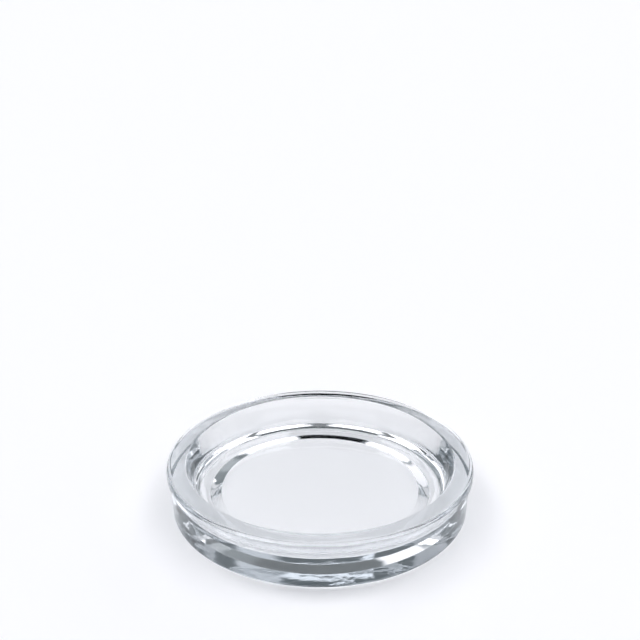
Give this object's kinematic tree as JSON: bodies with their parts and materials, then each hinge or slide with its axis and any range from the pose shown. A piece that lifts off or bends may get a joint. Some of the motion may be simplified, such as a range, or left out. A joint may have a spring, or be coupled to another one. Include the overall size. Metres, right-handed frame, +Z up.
{
  "type": "candle plate",
  "caption": "Round shallow dish of thick clear pressed glass with a flat-topped projecting lip, which carries a pillar candle and catches its wax.",
  "frame": {"origin": "centre of the foot ring, on the surface that the plate stands on", "axes": "+Z up along the plate's axis of revolution, out of the dish's mouth; +X and +Y are any two directions across it"},
  "size_m": [0.11, 0.11, 0.0171],
  "materials": {
    "clear_glass": "clear soda-lime glass, fire-polished to a gloss"
  },
  "bodies": {
    "root": {"glass_plate": "clear_glass"}
  },
  "joints": []
}
